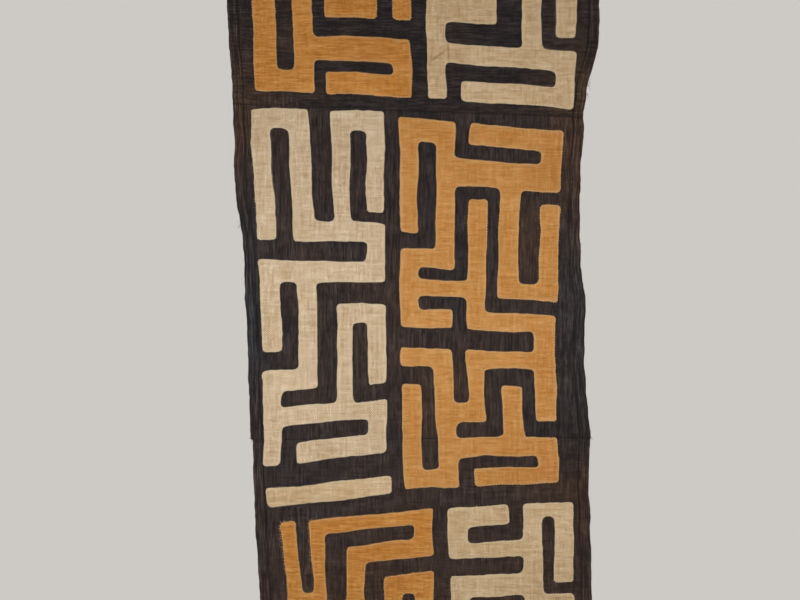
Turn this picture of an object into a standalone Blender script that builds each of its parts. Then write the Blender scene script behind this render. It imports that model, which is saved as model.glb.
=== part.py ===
# Raffia cloth of dark ground panels joined end to end, with meander figures sewn on its front.
# It hangs by its top edge. The origin is the middle of that edge, X runs to the right, Z up,
# and the front faces -Y. All sizes in the tables are millimetres.

import math
from collections import namedtuple

import bmesh
import bpy
import numpy as np

MM = 0.001

# Thickness of the sheets
GROUND_THICK = 1.2
FOLDED_THICK = 2.2
FIGURE_THICK = 1.0
CLEARANCE = 0.3

# Turnings at the back of each panel, where its cloth lies double
HEM = 19.0
TURNING = 12.0
TURNING_SLOPE = 2.0
SEAM_GAP = 0.4

# Cut edges of the figures: their corners, the longest straight run, and how a hand's cut strays
OUTER_ROUND = 4.5
INNER_ROUND = 7.0
MOST_OF_EDGE = 0.45
ROUND_STEPS = 2
EDGE_RUN = 65.0
HAND_STRAY = 0.85
LONG_STRAY = 140.0
SHORT_STRAY = 72.0

# Points nearer than this to a crease count as on it
ON_CREASE = 0.02

# How the cloth hangs: families of parallel folds, each a sum of waves, creased at every pitch
Fold = namedtuple("Fold", "turn pitch waves")
Wave = namedtuple("Wave", "height length start")
FOLDS = (
    Fold(2.0, 46.0, (Wave(1.9, 310, 0.15), Wave(0.7, 178, 0.60))),
    Fold(88.0, 85.0, (Wave(2.1, 690, 0.30), Wave(0.9, 410, 0.75))),
    Fold(38.0, 95.0, (Wave(1.2, 520, 0.45),)),
)

# The sides of each panel, from its top to its bottom: drop below the top edge, and place across
Side = namedtuple("Side", "left_drop left right_drop right")
TOP_SIDES = (
    Side(0, -325, 0, 322),
    Side(200, -326, 200, 329),
    Side(376, -320, 370, 332),
    Side(428, -318, 428, 332),
    Side(472, -315, 472, 327),
    Side(508, -312, 508, 314),
    Side(532, -311, 532, 307),
    Side(558, -311, 581, 303),
)
MIDDLE_SIDES = (
    Side(558, -311, 581, 303),
    Side(620, -307, 632, 304),
    Side(665, -309, 668, 299),
    Side(726, -304, 726, 298),
    Side(796, -292, 796, 297),
    Side(850, -290, 850, 299),
    Side(902, -288, 902, 307),
    Side(970, -284, 970, 304),
    Side(1040, -282, 1040, 305),
    Side(1086, -281, 1086, 310),
    Side(1145, -278, 1141, 316),
)
BOTTOM_SIDES = (
    Side(1145, -275, 1141, 315),
    Side(1200, -274, 1200, 311),
    Side(1286, -271, 1286, 315),
    Side(1356, -267, 1356, 318),
    Side(1426, -262, 1426, 319),
    Side(1532, -257, 1532, 324),
    Side(1715, -254, 1709, 329),
)

# A figure is charted in rows and columns of cut and open squares. Its stations say where the
# ends of a row lie on the cloth and how wide the columns are there.
Station = namedtuple("Station", "left left_drop right right_drop columns")
Row = namedtuple("Row", "height marks")
Figure = namedtuple("Figure", "stations rows")

TOP_LEFT = Figure(
    stations=(
        Station(-285, 28, -4, 22, (40, 31, 35, 21, 32, 30, 31, 26, 33)),
        Station(-271, 534, 3, 548, (40, 31, 35, 21, 32, 30, 31, 26, 33)),
    ),
    rows=(
        Row(32, "aaaaa.bbb"),
        Row(30, "a...a.b.b"),
        Row(32, "a.b.a.b.b"),
        Row(30, "a.b...b.b"),
        Row(32, "a.bbbbb.b"),
        Row(30, "a.......b"),
        Row(32, "a.aaaaa.b"),
        Row(30, "a.a...a.b"),
        Row(70, "a.a.a.a.b"),
        Row(66, "a.a.aaa.b"),
        Row(32, "a.a......"),
        Row(42, "a.aaaaaaa"),
        Row(21, "a.a.....a"),
        Row(38, "aaa.aaaaa"),
    ),
)
TOP_RIGHT = Figure(
    stations=(
        Station(25, 18, 300, 30, (34, 26, 33, 32, 42, 36, 30, 42)),
        Station(30, 548, 287, 567, (33, 26, 33, 30, 45, 33, 25, 32)),
    ),
    rows=(
        Row(32, "aaaa.aaa"),
        Row(30, "a....a.a"),
        Row(32, "a.aa.a.a"),
        Row(30, "a..a.a.a"),
        Row(32, "aaaa.a.a"),
        Row(30, "...a.a.a"),
        Row(32, "aaaa.a.a"),
        Row(30, "a....a.a"),
        Row(32, "a.aa.a.a"),
        Row(68, "a..a.a.a"),
        Row(49, "aaaa.a.a"),
        Row(14, "a....a.a"),
        Row(24, "a....a.."),
        Row(35, "aaaaaaaa"),
        Row(29, "a......a"),
        Row(35, "a.aaaaaa"),
    ),
)
MIDDLE_LEFT = Figure(
    stations=(
        Station(-280, 564, -46, 572, (33, 31, 37, 38, 33, 30, 30)),
        Station(-259, 952, -42, 952, (35, 30, 33, 33, 26, 27, 32)),
        Station(-255, 1193, -40, 1166, (28, 28, 33, 38, 28, 27, 30)),
    ),
    rows=(
        Row(34, "aaa.aaa"),
        Row(143, "a.a.a.a"),
        Row(19, "a.a.a.."),
        Row(34, "a.aaaaa"),
        Row(35, "......a"),
        Row(37, "aaaaaaa"),
        Row(38, "a.a...."),
        Row(33, "a.a.aaa"),
        Row(49, "a.a.a.a"),
        Row(31, "..a.a.a"),
        Row(34, "aaa.a.a"),
        Row(28, "a...a.."),
        Row(32, "aaaaaaa"),
        Row(30, "a.....a"),
        Row(35, "a.aaaaa"),
    ),
)
MIDDLE_BAR = Figure(
    stations=(
        Station(-252, 1232, -35, 1208, (217,)),
        Station(-248, 1265, -33, 1239, (217,)),
    ),
    rows=(Row(32, "a"),),
)
MIDDLE_RIGHT = Figure(
    stations=(
        Station(-19, 581, 268, 606, (32, 32, 33, 24, 33, 21, 35, 37, 35)),
        Station(-17, 900, 256, 911, (32, 30, 33, 24, 33, 21, 35, 36, 34)),
        Station(-17, 977, 252, 988, (35, 21, 33, 24, 30, 33, 35, 20, 37)),
        Station(-10, 1232, 260, 1220, (32, 30, 35, 28, 24, 26, 35, 25, 35)),
    ),
    rows=(
        Row(39, "aaa.aaaaa"),
        Row(24, "a.a.....a"),
        Row(48, "a.aaaaaaa"),
        Row(22, "a.a...a.."),
        Row(65, "a.a.a.a.a"),
        Row(26, "..a.a.a.a"),
        Row(33, "aaa.a.a.a"),
        Row(20, "a...a.a.a"),
        Row(28, "aaaaa.aaa"),
        Row(24, "a...a...."),
        Row(32, "aaa.aaaaa"),
        Row(35, "........a"),
        Row(31, "aaa.aaaaa"),
        Row(30, "..a.a...a"),
        Row(33, "a.a.a.a.a"),
        Row(32, "a.aaa.a.a"),
        Row(27, "a.a...a.."),
        Row(34, "a.aaaaaaa"),
        Row(20, "a.a.....a"),
        Row(31, "aaa.aaaaa"),
    ),
)
BOTTOM_LEFT = Figure(
    stations=(
        Station(-228, 1291, 40, 1265, (26, 24, 26, 38, 35, 33, 30, 23, 32)),
        Station(-212, 1435, 42, 1405, (25, 21, 21, 35, 30, 34, 31, 23, 33)),
        Station(-198, 1676, 47, 1668, (26, 24, 26, 28, 28, 28, 30, 26, 31)),
    ),
    rows=(
        Row(26, "a.aaaaaaa"),
        Row(27, "a.a.....a"),
        Row(33, "a.a.aaaaa"),
        Row(28, "a.a.a...."),
        Row(17, "a.a.a.aaa"),
        Row(18, "aaa.a.aaa"),
        Row(15, "aaa.a.a.a"),
        Row(35, "....a.a.a"),
        Row(31, "aaaaa.a.a"),
        Row(28, "a.....a.a"),
        Row(32, "a.aaaaa.a"),
        Row(28, "a.a.....a"),
        Row(31, "a.a.aaaaa"),
        Row(21, "a.a.a...."),
        Row(35, "aaa.aaaaa"),
    ),
)
BOTTOM_RIGHT = Figure(
    stations=(
        Station(65, 1265, 285, 1253, (35, 33, 39, 26, 32, 23, 33)),
        Station(72, 1426, 287, 1416, (32, 33, 37, 25, 33, 20, 35)),
        Station(79, 1675, 292, 1668, (33, 30, 33, 27, 32, 26, 33)),
    ),
    rows=(
        Row(23, "aaa.aaa"),
        Row(12, "aaa.a.a"),
        Row(28, "a...a.a"),
        Row(28, "aaaaa.a"),
        Row(30, "....a.a"),
        Row(19, "aaaaa.a"),
        Row(19, "aaaaa.."),
        Row(35, "a...aaa"),
        Row(30, "a.a...a"),
        Row(31, "a.aaa.a"),
        Row(30, "a...a.a"),
        Row(31, "aaa.a.a"),
        Row(26, "..a.a.a"),
        Row(38, "a.a.a.a"),
        Row(32, "aaa.aaa"),
    ),
)

# What is cut: each panel with its sides, and each figure piece with its mark in a chart
Panel = namedtuple("Panel", "name sides colour")
Piece = namedtuple("Piece", "name figure mark colour")
PANELS = (
    Panel("panel_top", TOP_SIDES, "#2E2A2C"),
    Panel("panel_middle", MIDDLE_SIDES, "#2D2B2D"),
    Panel("panel_bottom", BOTTOM_SIDES, "#332A27"),
)
PIECES = (
    Piece("figure_top_left", TOP_LEFT, "a", "#C98C43"),
    Piece("figure_top_left_inner", TOP_LEFT, "b", "#C98C43"),
    Piece("figure_top_right", TOP_RIGHT, "a", "#CDB48C"),
    Piece("figure_middle_left", MIDDLE_LEFT, "a", "#CDB48C"),
    Piece("figure_middle_bar", MIDDLE_BAR, "a", "#CDB48C"),
    Piece("figure_middle_right", MIDDLE_RIGHT, "a", "#C98C43"),
    Piece("figure_bottom_left", BOTTOM_LEFT, "a", "#C5873C"),
    Piece("figure_bottom_right", BOTTOM_RIGHT, "a", "#CDB48C"),
)
ROUGHNESS = 0.9


def clear_scene():
    for item in list(bpy.data.objects):
        bpy.data.objects.remove(item, do_unlink=True)


def raffia(name, colour):
    """A dull woven finish in one sRGB colour."""
    channels = [int(colour[i : i + 2], 16) / 255 for i in (1, 3, 5)]
    linear = [c / 12.92 if c <= 0.04045 else ((c + 0.055) / 1.055) ** 2.4 for c in channels]
    material = bpy.data.materials.new(f"{name} raffia")
    material.use_nodes = True
    shader = material.node_tree.nodes["Principled BSDF"]
    shader.inputs["Base Color"].default_value = (*linear, 1.0)
    shader.inputs["Roughness"].default_value = ROUGHNESS
    shader.inputs["Metallic"].default_value = 0.0
    return material


# The hang of the cloth


def crease_height(fold, crease):
    """How far back the cloth lies at one crease of a fold family."""
    place = crease * fold.pitch
    return sum(w.height * math.sin(math.tau * (place / w.length + w.start)) for w in fold.waves)


def fold_height(fold, x, z):
    """The depth of one fold family at a point, straight from crease to crease."""
    turn = math.radians(fold.turn)
    crease, between = divmod((x * math.cos(turn) + z * math.sin(turn)) / fold.pitch, 1)
    near = crease_height(fold, crease)
    return near + (crease_height(fold, crease + 1) - near) * between


def hang(x, z):
    """How far back the front of the ground lies: 0 at the middle of the top edge."""
    return sum(fold_height(fold, x, z) - fold_height(fold, 0, 0) for fold in FOLDS)


def crease(flat):
    """Cuts a flat shape along every crease that crosses it, so that each face stays plane."""
    for fold in FOLDS:
        turn = math.radians(fold.turn)
        across = (math.cos(turn), 0.0, math.sin(turn))
        places = [vert.co.x * across[0] + vert.co.z * across[2] for vert in flat.verts]
        first = math.ceil(min(places) / fold.pitch)
        last = math.floor(max(places) / fold.pitch)
        for number in range(first, last + 1):
            on_crease = [number * fold.pitch * part for part in across]
            everything = flat.verts[:] + flat.edges[:] + flat.faces[:]
            bmesh.ops.bisect_plane(
                flat, geom=everything, dist=ON_CREASE, plane_co=on_crease, plane_no=across
            )


def hung_solid(name, flat, front, thick, colour):
    """A closed solid from a flat shape: X and Z are its place, Y what is folded behind it."""
    crease(flat)
    flat.verts.index_update()
    count = len(flat.verts)
    fronts = [(v.co.x, hang(v.co.x, v.co.z) + front, v.co.z) for v in flat.verts]
    backs = [(x, y + thick + v.co.y, z) for v, (x, y, z) in zip(flat.verts, fronts)]
    faces = [[vert.index for vert in face.verts] for face in flat.faces]
    faces += [[index + count for index in reversed(face)] for face in faces]
    for edge in flat.edges:
        if edge.is_boundary:
            loop = edge.link_loops[0]
            start, end = loop.vert.index, loop.link_loop_next.vert.index
            faces.append([end, start, start + count, end + count])
    flat.free()
    mesh = bpy.data.meshes.new(name)
    mesh.from_pydata([[MM * part for part in point] for point in fronts + backs], [], faces)
    mesh.materials.append(raffia(name, colour))
    solid = bpy.data.objects.new(name, mesh)
    bpy.context.scene.collection.objects.link(solid)
    return solid


# Ground panels


def side_at(sides, below):
    """The side points a given drop below a panel's top, or above its bottom if negative."""
    end = sides[0] if below >= 0 else sides[-1]
    left_drop = end.left_drop + below
    right_drop = end.right_drop + below
    left = np.interp(left_drop, [s.left_drop for s in sides], [s.left for s in sides])
    right = np.interp(right_drop, [s.right_drop for s in sides], [s.right for s in sides])
    return Side(left_drop, left, right_drop, right)


def panel_rows(sides):
    """A panel's rows of points as (side, lies double), with its turnings at top and bottom."""
    deep = TURNING + TURNING_SLOPE
    within = [s for s in sides[1:-1] if s.left_drop - sides[0].left_drop > deep + TURNING]
    within = [s for s in within if sides[-1].left_drop - s.left_drop > deep + TURNING]
    rows = [(side_at(sides, SEAM_GAP / 2), True), (side_at(sides, TURNING), True)]
    rows += [(side_at(sides, deep), False)]
    rows += [(side, False) for side in within]
    rows += [(side_at(sides, -deep), False), (side_at(sides, -TURNING), True)]
    return rows + [(side_at(sides, -SEAM_GAP / 2), True)]


def make_panel(panel):
    """A ground panel: single cloth with hems at its sides and turnings at its ends."""
    flat = bmesh.new()
    grid = []
    for side, double in panel_rows(panel.sides):
        width = side.right - side.left
        slope_end = HEM + TURNING_SLOPE
        line = []
        for inset in (0.0, HEM, slope_end, width - slope_end, width - HEM, width):
            share = inset / width
            drop = side.left_drop + (side.right_drop - side.left_drop) * share
            folded = double or inset in (0.0, HEM, width - HEM, width)
            behind = FOLDED_THICK - GROUND_THICK if folded else 0.0
            line.append(flat.verts.new((side.left + inset, behind, -drop)))
        grid.append(line)
    for upper, lower in zip(grid, grid[1:]):
        for k in range(len(upper) - 1):
            flat.faces.new((upper[k], lower[k], lower[k + 1], upper[k + 1]))
    return hung_solid(panel.name, flat, 0.0, GROUND_THICK, panel.colour)


# Cut figures


def cut_loop(rows, mark):
    """Walks round the squares of one mark, with the cloth on the left: (column, row) points."""
    squares = {(c, r) for r, row in enumerate(rows) for c, m in enumerate(row.marks) if m == mark}
    steps = {}
    for c, r in squares:
        sides = (
            ((c, r + 1), (c, r + 1), (c + 1, r + 1)),
            ((c + 1, r), (c + 1, r + 1), (c + 1, r)),
            ((c, r - 1), (c + 1, r), (c, r)),
            ((c - 1, r), (c, r), (c, r + 1)),
        )
        for neighbour, start, end in sides:
            if neighbour not in squares:
                if start in steps:
                    raise ValueError("two squares of a figure meet at a corner only")
                steps[start] = end
    walk = [min(steps)]
    while steps[walk[-1]] != walk[0]:
        walk.append(steps[walk[-1]])
    if len(walk) != len(steps):
        raise ValueError("a figure has a closed hole, or is in two pieces")
    return walk


def corners_of(walk):
    """The points of a closed walk where it turns."""
    found = []
    for before, here, after in zip(walk[-1:] + walk[:-1], walk, walk[1:] + walk[:1]):
        if before[0] != after[0] and before[1] != after[1]:
            found.append(here)
    return found


def rounded(corners):
    """A chart outline with its corners rounded and its long edges parted into short runs."""
    points = []
    for before, here, after in zip(corners[-1:] + corners[:-1], corners, corners[1:] + corners[:1]):
        back, ahead = before - here, after - here
        outer = back[0] * ahead[1] - back[1] * ahead[0] > 0
        wanted = OUTER_ROUND if outer else INNER_ROUND
        shorter = min(np.linalg.norm(back), np.linalg.norm(ahead))
        radius = min(wanted, MOST_OF_EDGE * shorter)
        back = back / np.linalg.norm(back) * radius
        ahead = ahead / np.linalg.norm(ahead) * radius
        for step in range(ROUND_STEPS + 1):
            angle = math.pi / 2 * step / ROUND_STEPS
            points.append(here + back + ahead - math.cos(angle) * ahead - math.sin(angle) * back)
    outline = []
    for start, end in zip(points, points[1:] + points[:1]):
        runs = max(1, math.ceil(np.linalg.norm(end - start) / EDGE_RUN))
        outline += [start + (end - start) * run / runs for run in range(runs)]
    return outline


def stray(along, across):
    """How far a hand-cut edge strays at a place, as two slanting waves."""
    long_wave = math.sin(math.tau * (along + across / 3) / LONG_STRAY)
    return HAND_STRAY * (long_wave + math.sin(math.tau * (along - across / 3) / SHORT_STRAY))


def place(figure, point):
    """Where a chart point lies on the cloth, with the waver of a hand-cut edge: (x, z)."""
    nominal = np.cumsum((0,) + figure.stations[0].columns)
    drops = [s.left_drop + s.right_drop for s in figure.stations]
    height = sum(row.height for row in figure.rows)
    drop = drops[0] + (drops[-1] - drops[0]) * point[1] / height
    lines = []
    for station in figure.stations:
        columns = np.cumsum((0,) + station.columns)
        share = np.interp(point[0], nominal, columns / columns[-1])
        across = station.left + (station.right - station.left) * share
        down = station.left_drop + (station.right_drop - station.left_drop) * share
        lines.append((across, down))
    x = np.interp(drop, drops, [line[0] for line in lines])
    z = -np.interp(drop, drops, [line[1] for line in lines])
    return x + stray(z, x), z + stray(x, z)


def make_piece(piece):
    """A figure piece, cut from raffia cloth and sewn on the front of the ground."""
    figure = piece.figure
    columns = np.cumsum((0,) + figure.stations[0].columns)
    rows = np.cumsum([0] + [row.height for row in figure.rows])
    walk = cut_loop(figure.rows, piece.mark)
    corners = [np.array((columns[c], rows[r]), float) for c, r in corners_of(walk)]
    flat = bmesh.new()
    outline = [place(figure, point) for point in rounded(corners)]
    flat.faces.new([flat.verts.new((x, 0.0, z)) for x, z in outline])
    front = -CLEARANCE - FIGURE_THICK
    return hung_solid(piece.name, flat, front, FIGURE_THICK, piece.colour)


clear_scene()
for each_panel in PANELS:
    make_panel(each_panel)
for each_piece in PIECES:
    make_piece(each_piece)
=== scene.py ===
import math
from collections import namedtuple

import bmesh
import bpy
import numpy as np
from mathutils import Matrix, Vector, noise
from mathutils.kdtree import KDTree


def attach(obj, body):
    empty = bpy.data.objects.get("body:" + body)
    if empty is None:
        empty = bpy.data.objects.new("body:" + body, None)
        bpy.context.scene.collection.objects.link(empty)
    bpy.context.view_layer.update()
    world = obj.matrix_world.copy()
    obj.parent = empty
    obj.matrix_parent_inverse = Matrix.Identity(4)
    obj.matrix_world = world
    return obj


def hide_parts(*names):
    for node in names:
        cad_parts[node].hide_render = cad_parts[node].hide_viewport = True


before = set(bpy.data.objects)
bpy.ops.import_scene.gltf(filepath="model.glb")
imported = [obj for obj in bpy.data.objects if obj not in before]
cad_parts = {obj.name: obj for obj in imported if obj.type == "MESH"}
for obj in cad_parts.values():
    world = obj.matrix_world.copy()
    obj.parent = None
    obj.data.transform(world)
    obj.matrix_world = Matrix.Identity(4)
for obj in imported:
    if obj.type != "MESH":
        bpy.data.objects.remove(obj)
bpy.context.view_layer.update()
bpy.ops.object.select_all(action="DESELECT")

MM = 0.001
BODY = "root"

# The sheets, as in the solids
GROUND_THICK = 1.2
FOLDED_THICK = 2.2
FIGURE_FACE = 1.3
HEM = 19.0
TURNING = 12.0

# How the cloth hangs: families of soft folds, each a sum of waves across its turn
Fold = namedtuple("Fold", "turn waves")
Wave = namedtuple("Wave", "height length start")
FOLDS = (
    Fold(2.0, (Wave(1.9, 310, 0.15), Wave(0.7, 178, 0.60))),
    Fold(88.0, (Wave(2.1, 690, 0.30), Wave(0.9, 410, 0.75))),
    Fold(38.0, (Wave(1.2, 520, 0.45),)),
)

# Lumps of the crumpled cloth: how deep, how wide and how tall
Lump = namedtuple("Lump", "deep wide tall")
CRINKLES = (Lump(0.55, 75, 130), Lump(0.30, 24, 34))

# Smooth noise seldom passes 0.6 either way, so it is raised to fill the depth of a lump
NOISE_RAISED = 1.6

# Seeds, so that no unevenness follows another, and how far apart the two sides and the two hems
# read the same noise
SEAM_SEED = 9
PLEAT_SEED = 20
CUT_SEED = 30
EDGE_SEED = 40
FRAY_SEED = 7
SIDES_APART = 100.0
HEMS_APART = 200

# Single creases, from one end to the other: a positive depth is a trough
Crease = namedtuple("Crease", "start_x start_drop end_x end_drop wide deep")
CREASES = (
    Crease(306, 390, 322, 500, 9.0, 1.6),
    Crease(322, 400, 292, 560, 7.0, -1.3),
    Crease(-318, 380, -296, 600, 8.0, 1.0),
    Crease(-300, 720, -268, 900, 9.0, 1.1),
    Crease(268, 690, 286, 840, 8.0, 1.2),
    Crease(296, 860, 290, 1010, 7.0, -1.0),
    Crease(-262, 1010, -250, 1190, 8.0, 0.9),
    Crease(-20, 560, 4, 900, 14.0, 1.0),
    Crease(-36, 960, -8, 1250, 15.0, 0.9),
    Crease(40, 1170, 300, 1150, 10.0, 0.8),
    Crease(-240, 1270, -210, 1460, 9.0, 0.9),
    Crease(300, 1190, 306, 1400, 8.0, 1.0),
    Crease(-250, 380, -20, 366, 12.0, 0.8),
)

# Sharp fold marks of a figure: troughs in its relief, with painted shade along them, which the eye
# sees as thin dark lines
FOLD_MARKS = (Crease(30, 488, 69, 460, 1.3, 0.6), Crease(66, 444, 68, 497, 1.1, 0.4))
MARK_CUTS = (-1.8, -0.6, 0.6, 1.8)

# Hems at the sides: where they are sewn, the pleats and puckers that the sewing pulls, and where
# these fade into the single cloth
HEM_SEWN = 17.0
SEWN_DEEP = 0.45
SEWN_WIDE = 1.3
PLEAT = Lump(0.95, 4.2, 95)
PUCKER_DEEP = 0.16
PUCKER_WIDE = 6
HEM_PITCH = 8.5
HEM_ENDS = 25.0
HEM_FADE = 5

# How far each panel's end laps into a seam, so that no light shows through it
SEAM_LAP = 0.35

# How far edges waver, and over how many points a side is smoothed
SIDE_WAVERS = (Lump(1.3, 60, 34), Lump(0.7, 40, 11))
SIDE_SMOOTH = 7
SEAM_WAVER = Lump(0.9, 42, 400)
CUT_WAVERS = (Lump(1.15, 52, 47), Lump(0.7, 11, 10))

# Mesh steps: close at a folded rim, then in the hem or turning, then even, and for the figures
# along their outline, in their grid and in from their rim
RIM_PLACES = (0, 0.15, 0.45, 0.8, 1.2, 1.8)
SIDE_PLACES = RIM_PLACES + tuple(np.arange(3.0, HEM_ENDS + 1, 1.3))
END_PLACES = RIM_PLACES + (3.2, 5, 7, 9, 11, 12, 13.2, 15)
GROUND_GRID = 6.5
FOLD_STEP = 1.0
OUTLINE_STEP = 3.0
FIGURE_GRID = 6.5
RIM_INSETS = (0.16, 0.34, 0.6)
RIM_STEP = 0.4
CUT_NEAR = 0.01

# The turned edge of a figure: its height over the ground at each distance from the rim, its
# lumps with the distances over which they begin, and those over which its paler rim ends, partly
# worn and partly a painted highlight
EDGE_PROFILE = ((0, 0.02), (0.16, 0.75), (0.5, 1.3), (1.1, 1.62), (4.5, 1.66), (7.5, FIGURE_FACE))
EDGE_LUMP = Lump(0.22, 11, 11)
LUMPS_BEGIN = (0.8, 3)
WORN_AND_HIGHLIT_ENDS = (0.9, 2.4)

# Sewing thread: the form of a stitch, how the figures are overcast and edged with a dark thread
# that also stands in for the shadow at their rims, and how hems, seams and ends are sewn
STITCH_SIDES = 4
STITCH_STEPS = 3
STITCH_THICK = 0.85
STITCH_HALF = 1.5
EDGE_PITCH = 4.7
EDGE_REACH = 0.85
EDGE_BITE = 1.9
EDGE_LIFT = 1.4
DASH = 2.6
DASH_LIFT = 0.35
EDGING_AND_SHADOW_THICK = 1.1
EDGING_AND_SHADOW_OFF = 0.5
HEM_STITCH = 5.0
HEM_LIFT = 0.45
SEAM_PITCH = 5.5
SEAM_REACH = 2.4
SEAM_LIFT = 0.8
SEAM_LEAN = 0.8
END_SEWN = 10.0
END_IN = 3
END_POINTS = 60

# How unevenly the figures are overcast: stitches shifted along the rim, longer or shorter ones,
# and how far they lean
STITCH_SHIFT = 0.8
STITCH_UNEVEN = (0.7, 1.3)
STITCH_LEAN = (0.1, 1.2)

# Joins nearer than this are one point
MERGE = 0.00002

# Soft patches of the cloth, where something is stronger than elsewhere
Patch = namedtuple("Patch", "x drop wide tall amount")

# Places where the overcast stitches reach further over the ground
TEETH = (
    Patch(-227, 1350, 9, 90, 2.6),
    Patch(-174, 1330, 7, 75, 1.7),
    Patch(-222, 1283, 14, 8, 1.6),
    Patch(-165, 1274, 26, 9, 1.2),
    Patch(260, 425, 9, 34, 1.5),
    Patch(252, 462, 45, 7, 1.3),
    Patch(-243, 700, 7, 60, 1.0),
    Patch(-273, 735, 7, 16, 1.3),
)

# Places where the ground's dye is browner, where it is bluer, where it is lighter, where a
# figure's dye is deeper, and where the ground's threads are worn pale
BROWN = (
    Patch(-300, 560, 45, 90, 1.1),
    Patch(-215, 550, 70, 25, 0.4),
    Patch(292, 600, 45, 140, 1.5),
    Patch(-220, 430, 25, 70, 0.5),
    Patch(240, 545, 90, 22, 0.6),
    Patch(203, 790, 30, 80, 1.1),
    Patch(170, 656, 60, 16, 0.3),
    Patch(-60, 980, 60, 110, 0.6),
    Patch(-175, 940, 22, 120, 0.7),
    Patch(20, 1060, 30, 120, 0.5),
    Patch(110, 1060, 60, 90, 0.5),
    Patch(250, 1230, 160, 70, 0.5),
    Patch(0, 1430, 420, 160, 0.6),
    Patch(290, 1330, 50, 110, 0.3),
    Patch(-225, 620, 20, 90, 0.4),
    Patch(-20, 420, 50, 120, -0.5),
    Patch(170, 380, 60, 90, -0.4),
    Patch(-240, 360, 40, 80, -0.2),
)
BLUE = (
    Patch(-284, 940, 34, 160, 0.95),
    Patch(284, 940, 45, 170, 0.7),
)
LIGHTER = (
    Patch(300, 545, 60, 55, 0.14),
    Patch(-300, 500, 30, 60, 0.06),
    Patch(290, 1170, 50, 60, -0.16),
    Patch(290, 1340, 40, 110, -0.06),
    Patch(-284, 980, 30, 80, 0.05),
    Patch(290, 1010, 40, 60, -0.05),
    Patch(10, 481, 30, 60, -0.07),
    Patch(-25, 691, 25, 70, -0.08),
)
DEEPER = (
    Patch(-60, 452, 60, 50, 0.22),
    Patch(245, 660, 40, 45, 0.2),
    Patch(232, 1215, 60, 40, 0.22),
    Patch(245, 1020, 30, 120, 0.1),
)
PALE = (
    Patch(-225, 553, 50, 13, 1.0),
    Patch(-165, 1290, 130, 40, 0.5),
    Patch(-210, 1370, 42, 120, 0.6),
    Patch(-190, 1150, 40, 60, 0.5),
    Patch(-250, 770, 40, 60, 0.4),
    Patch(265, 430, 22, 30, 0.8),
    Patch(-120, 830, 120, 22, 0.5),
    Patch(284, 1140, 40, 24, 0.4),
    Patch(-300, 420, 22, 160, 0.4),
    Patch(300, 800, 26, 200, 0.4),
)

# Frayed fibres at the side edges: bunches at named places, and single ones anywhere
Fray = namedtuple("Fray", "drop side count long")
FRAYS = (
    Fray(767, -1, 5, 7),
    Fray(522, 1, 8, 8),
    Fray(540, 1, 5, 6),
    Fray(1148, -1, 5, 5),
    Fray(1145, 1, 5, 5),
)
LONE_FRAYS = 110
LONE_LONG = 3.2
FIBRE_THICK = 0.32

# How the fibres of a fray spread along the edge, how they head and curl to the back and upwards,
# how long each is as a share of its bunch, how deep it is rooted, how straight and how curled it
# runs, and how far from the ends of the cloth single fibres stay
FRAY_SPREAD = 3
FRAY_HEADS = ((-0.6, 0.4), (-1.4, 0.7))
FRAY_CURLS = ((-0.5, 0.5), (-1.0, 0.3))
FRAY_SHARES = (0.5, 1.2)
FRAY_POINTS = 5
FRAY_ROOTED = 0.8
FRAY_STRAIGHT = 0.7
FRAY_CURLED = 0.6
FRAY_FREE = 10

# What each figure is cut from, and the thread that sews it on
Cut = namedtuple("Cut", "node cloth thread")
CUTS = (
    Cut("figure_top_left", "rust", "ochre"),
    Cut("figure_top_left_inner", "rust", "ochre"),
    Cut("figure_top_right", "straw", "cream"),
    Cut("figure_middle_left", "cream", "cream"),
    Cut("figure_middle_bar", "straw", "cream"),
    Cut("figure_middle_right", "ochre", "ochre"),
    Cut("figure_bottom_left", "rust", "ochre"),
    Cut("figure_bottom_right", "straw", "cream"),
)

# The ground panels: how much of the weave shows as upright threads, and how light the dye is
Panel = namedtuple("Panel", "node upright shade")
PANELS = (
    Panel("panel_top", 0.25, -0.07),
    Panel("panel_middle", 0.8, 0.0),
    Panel("panel_bottom", 0.6, 0.02),
)


# The lie of the cloth


def deep(lump, x, z, seed):
    """Smooth uneven lumps at points of the cloth: a depth for each, in millimetres."""
    height = [noise.noise((a / lump.wide, b / lump.tall, seed)) for a, b in zip(x, z)]
    return NOISE_RAISED * lump.deep * np.array(height)


def crease_deep(crease, x, z):
    """The depth of a single crease, which fades out towards its ends."""
    run = np.array((crease.end_x - crease.start_x, crease.start_drop - crease.end_drop))
    length = np.linalg.norm(run)
    from_x, from_z = x - crease.start_x, z + crease.start_drop
    along_it = (from_x * run[0] + from_z * run[1]) / length**2
    across = (from_x * run[1] - from_z * run[0]) / length
    fade = np.sin(math.pi * np.clip(along_it, 0, 1))
    return crease.deep * fade * np.exp(-((across / crease.wide) ** 2))


def lie(x, z):
    """How far back the front of the cloth lies at points of it, in millimetres."""
    back = np.zeros(len(x))
    for fold in FOLDS:
        turn = math.radians(fold.turn)
        place = x * math.cos(turn) + z * math.sin(turn)
        for wave in fold.waves:
            start = math.sin(math.tau * wave.start)
            back += wave.height * (np.sin(math.tau * (place / wave.length + wave.start)) - start)
    for seed, lump in enumerate(CRINKLES):
        back += deep(lump, x, z, seed)
    for crease in CREASES:
        back += crease_deep(crease, x, z)
    return back


def patch_values(patches, x, z):
    """How strong the soft patches are together at points of the cloth."""
    total = np.zeros(len(x))
    for patch in patches:
        away = ((x - patch.x) / patch.wide) ** 2 + ((z + patch.drop) / patch.tall) ** 2
        total += patch.amount * np.exp(-away)
    return total


def smooth_step(low, high, value):
    """0 below low and 1 above high, with a soft step between."""
    share = np.clip((value - low) / (high - low), 0, 1)
    return share * share * (3 - 2 * share)


def on_front(flat, height):
    """Points in space from (x, z) points, at a height over the front of the ground."""
    x, z = flat.T
    return np.column_stack((x, lie(x, z) - height, z))


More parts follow.
